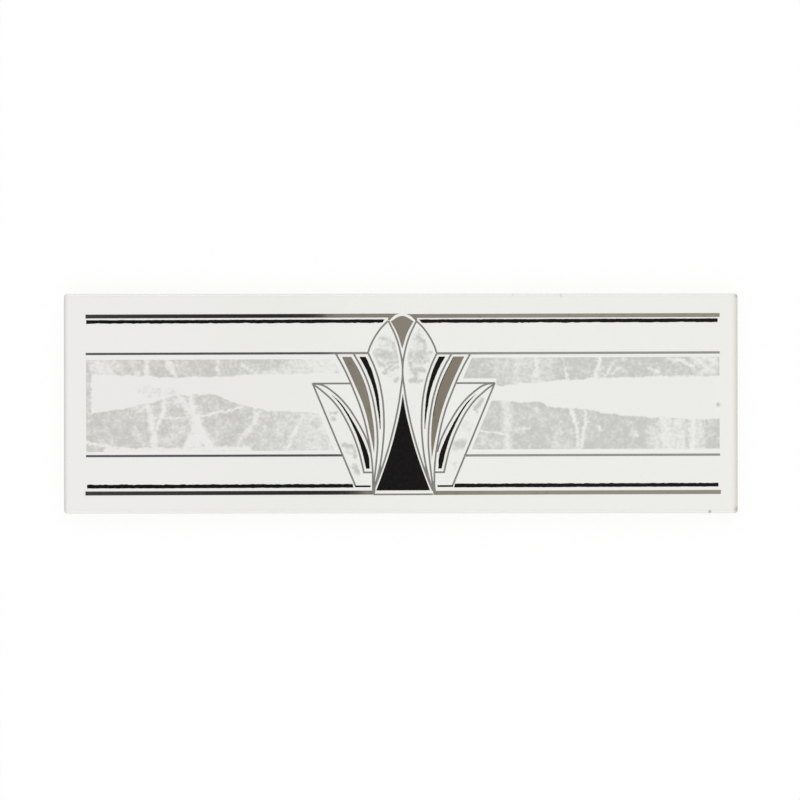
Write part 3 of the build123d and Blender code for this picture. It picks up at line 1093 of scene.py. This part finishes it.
def end_with_mix(tree, output, share, first, second):
    """Ends a node tree with a mix of two shaders."""
    mixed = add_node(tree, "ShaderNodeMixShader", {0: share, 1: first.outputs[0], 2: second.outputs[0]})
    add_node(tree, output, {"Surface": mixed.outputs[0]})


WHITE = grey(1.0)
SKY_STRENGTH = 0.72
FLOOR_SIZE = 6.0  # the studio's sizes are in metres
FLOOR_GREY = grey(0.95)
FLOOR_DROP = 0.02 * MM  # a hair below the back of the tile, so that the two never share a plane
SHADOW_SHARE = 0.1  # how much of the floor's look is lit by the lamps, and so keeps the shadow

world = bpy.data.worlds.new("studio")
bpy.context.scene.world = world
world.use_nodes = True
sky = world.node_tree
sky.nodes.clear()
backdrop = add_node(sky, "ShaderNodeBackground", {"Color": WHITE, "Strength": 1.0})
light = add_node(sky, "ShaderNodeBackground", {"Color": WHITE, "Strength": SKY_STRENGTH})
end_with_mix(sky, "ShaderNodeOutputWorld", seen_directly(sky), light, backdrop)

start_clean()
bpy.ops.mesh.primitive_plane_add(size=FLOOR_SIZE, location=(0, 0, -FLOOR_DROP))
floor = bpy.context.object
floor.name = "floor"
paper, tree = empty_material("white_paper")
lit = add_node(tree, "ShaderNodeBsdfDiffuse", {"Color": FLOOR_GREY})
glow = add_node(tree, "ShaderNodeEmission", {"Color": WHITE, "Strength": 1.0})
share = calc(tree, "MULTIPLY", seen_directly(tree), 1 - SHADOW_SHARE)
end_with_mix(tree, "ShaderNodeOutputMaterial", share, lit, glow)
paint(floor, paper)
print("floor and world are set")

# %% Lamps and cards
LAMP_SIZE = (1.6, 1.0)
LAMP_PLACE = 0.95  # sideways and up from the tile
LAMP_POWER = 5.5
CEILING_HEIGHT = 1.0
CEILING_SIZE = (1.3, 1.3)
CEILING_COLOURS = ((0.464, 0.433, 0.385, 1.0), (0.558, 0.531, 0.472, 1.0))
CEILING_CHANGE = (0.02, 0.07)  # from one colour to the other, in shares of its width from its middle
FLAG_HEIGHT = 0.9
FLAG_SIZE = (0.30, 0.9)
FLAG_EDGE = -0.0477  # where its right edge hangs
FLAG_TURN = math.radians(11.2)
FLAG_COLOURS = ((0.098, 0.095, 0.100, 1.0), (0.050, 0.048, 0.051, 1.0))
FLAG_CHANGE = (-0.2, 0.35)


def soft_lamp(name, side):
    start_clean()
    place = Vector((0, side * LAMP_PLACE, LAMP_PLACE))
    bpy.ops.object.light_add(type="AREA", location=place)
    lamp = bpy.context.object
    lamp.name = name
    lamp.data.shape = "RECTANGLE"
    lamp.data.size, lamp.data.size_y = LAMP_SIZE
    lamp.data.energy = LAMP_POWER
    lamp.rotation_euler = (-place).to_track_quat("-Z", "Y").to_euler()


def card(name, centre, size, turn, colours, change):
    """A board above the tile that only reflections see. Its colour changes across a share of its width."""
    start_clean()
    bpy.ops.mesh.primitive_plane_add(size=1, location=centre)
    board = bpy.context.object
    board.name = name
    board.scale = (*size, 1)
    board.rotation_euler.z = turn
    material, tree = empty_material(name)
    coordinates = add_node(tree, "ShaderNodeTexCoord").outputs["Object"]
    tone = blend(tree, ramp(tree, axes_of(tree, coordinates)["X"], *change), *colours)
    shine = add_node(tree, "ShaderNodeEmission", {"Color": tone, "Strength": 1.0})
    add_node(tree, "ShaderNodeOutputMaterial", {"Surface": shine.outputs[0]})
    paint(board, material)
    board.visible_camera = board.visible_diffuse = board.visible_shadow = board.visible_transmission = False


soft_lamp("lamp_near", -1)
soft_lamp("lamp_far", 1)
card("ceiling_card", (0, 0, CEILING_HEIGHT), CEILING_SIZE, 0, CEILING_COLOURS, CEILING_CHANGE)
flag_middle = (FLAG_EDGE - FLAG_SIZE[0] / 2, 0, FLAG_HEIGHT)
card("dark_flag", flag_middle, FLAG_SIZE, FLAG_TURN, FLAG_COLOURS, FLAG_CHANGE)
print("lamps and cards are set")

# %% [markdown]
# ## The camera
# The picture is square and 800 points wide, and the tile takes up about 675 of them. A long lens from
# straight above keeps its sides out of sight. The tile is widest just below its rounded upper edge, so
# the distance is reckoned from there. The camera is turned by a hair, because the tile lies that much
# askew in the picture.

# %% Camera
PICTURE = 800
LENS = 85.0
SENSOR = 36.0
POINTS_PER_MM = 3.400
TILE_IN_PICTURE = (400.8, 403.5)  # where the middle of the tile lies
PICTURE_TURN = math.radians(-0.05)

distance = PICTURE / POINTS_PER_MM / SENSOR * LENS
start_clean()
bpy.ops.object.camera_add()
camera = bpy.context.object
camera.name = "camera"
camera.data.lens = LENS
camera.data.sensor_width = SENSOR
aim_x = (PICTURE / 2 - TILE_IN_PICTURE[0]) / POINTS_PER_MM
aim_y = (TILE_IN_PICTURE[1] - PICTURE / 2) / POINTS_PER_MM
camera.location = (aim_x * MM, aim_y * MM, (TILE_THICKNESS - SLAB_ARRIS + distance) * MM)
camera.rotation_euler = (0, 0, PICTURE_TURN)
bpy.context.scene.camera = camera
bpy.context.scene.view_settings.view_transform = "Standard"
print("the camera is", round(distance), "mm above the tile")

# %% Update the scene
bpy.context.view_layer.update()
